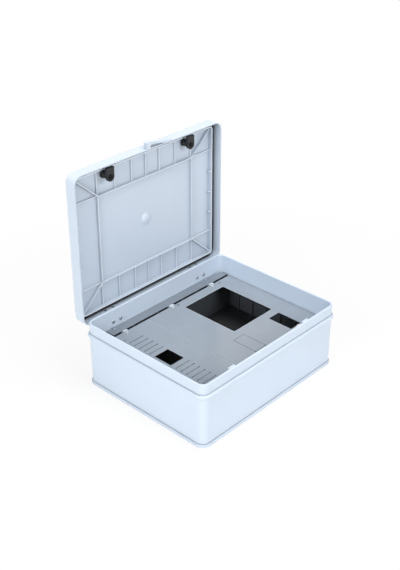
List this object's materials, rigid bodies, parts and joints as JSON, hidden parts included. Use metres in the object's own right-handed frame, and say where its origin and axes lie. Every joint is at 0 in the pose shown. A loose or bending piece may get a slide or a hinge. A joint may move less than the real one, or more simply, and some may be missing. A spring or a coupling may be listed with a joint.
{
  "type": "electric meter box",
  "caption": "Wall box for an electricity meter and circuit breakers, with a hinged gasketed lid, two turn locks and two hinged inner panels.",
  "frame": {"origin": "centre of the box's flat back face", "axes": "+Z out of the box's front, +X from the hinge side to the lock side, +Y upwards when the box hangs on a wall; the box is stored lying on its back with the lid open"},
  "size_m": [0.4471, 0.511, 0.587],
  "materials": {
    "shell_plastic": "pale blue-white injection-moulded plastic, satin gloss",
    "panel_plastic": "pale grey moulded sheet, glossy",
    "board_plastic": "grey moulded plastic",
    "clip_plastic": "white moulded nylon",
    "gasket_rubber": "black foamed rubber",
    "black_metal": "black powder coat on zinc casting",
    "black_plastic": "black nylon",
    "zinc_steel": "bright zinc plate",
    "brass": "drawn brass"
  },
  "bodies": {
    "box": {"box_shell": "shell_plastic", "box_ribs": "shell_plastic", "box_hinge_leaves": "zinc_steel", "hinge_pins": "zinc_steel", "box_hinge_screws": "zinc_steel", "panel_hinge_strip": "panel_plastic", "strip_screws": "zinc_steel", "mounting_board": "board_plastic", "board_screws": "zinc_steel", "din_rail": "zinc_steel", "rail_screws": "zinc_steel", "lower_meter_rail": "zinc_steel", "upper_meter_rail": "zinc_steel", "meter_rail_screws": "zinc_steel", "neutral_bar": "brass", "earth_bar": "brass", "terminal_screws": "brass", "bar_screws": "zinc_steel"},
    "lid": {"lid_shell": "shell_plastic", "lid_gasket": "gasket_rubber", "lid_hinge_leaves": "zinc_steel", "lid_hinge_screws": "zinc_steel", "lower_lock_body": "black_metal", "upper_lock_body": "black_metal", "lower_lock_nut": "black_plastic", "upper_lock_nut": "black_plastic"},
    "lower_latch": {"lower_lock_core": "zinc_steel", "lower_lock_cam": "black_metal", "lower_cam_screw": "zinc_steel"},
    "upper_latch": {"upper_lock_core": "zinc_steel", "upper_lock_cam": "black_metal", "upper_cam_screw": "zinc_steel"},
    "lower_cover": {"breaker_panel": "panel_plastic", "breaker_panel_clip": "clip_plastic"},
    "upper_cover": {"meter_panel": "panel_plastic", "meter_panel_clips": "clip_plastic"},
    "lower_cover_knob": {"breaker_panel_fastener": "clip_plastic"},
    "upper_cover_knob": {"meter_panel_fastener": "clip_plastic"}
  },
  "joints": [
    {"name": "lid_hinge", "type": "hinge", "parent": "box", "child": "lid", "pos_m": [-0.2075, 0.00525, 0.1595], "axis": [0, -1, 0], "range_deg": [-90, 0]},
    {"name": "lower_cover_hinge", "type": "hinge", "parent": "box", "child": "lower_cover", "pos_m": [-0.1635, -0.157, 0.126], "axis": [0, -1, 0], "range_deg": [0, 90]},
    {"name": "upper_cover_hinge", "type": "hinge", "parent": "box", "child": "upper_cover", "pos_m": [-0.1635, 0.09, 0.126], "axis": [0, -1, 0], "range_deg": [0, 90]},
    {"name": "lower_latch_turn", "type": "hinge", "parent": "lid", "child": "lower_latch", "pos_m": [-0.209, -0.139, 0.537], "axis": [1, 0, 0], "range_deg": [0, 90]},
    {"name": "upper_latch_turn", "type": "hinge", "parent": "lid", "child": "upper_latch", "pos_m": [-0.209, 0.139, 0.537], "axis": [-1, 0, 0], "range_deg": [0, 90]},
    {"name": "lower_cover_knob_turn", "type": "hinge", "parent": "lower_cover", "child": "lower_cover_knob", "pos_m": [0.168, -0.16, 0.13], "axis": [0, 0, 1], "range_deg": [0, 90]},
    {"name": "upper_cover_knob_turn", "type": "hinge", "parent": "upper_cover", "child": "upper_cover_knob", "pos_m": [0.156, 0.162, 0.13], "axis": [0, 0, 1], "range_deg": [0, 90]}
  ]
}
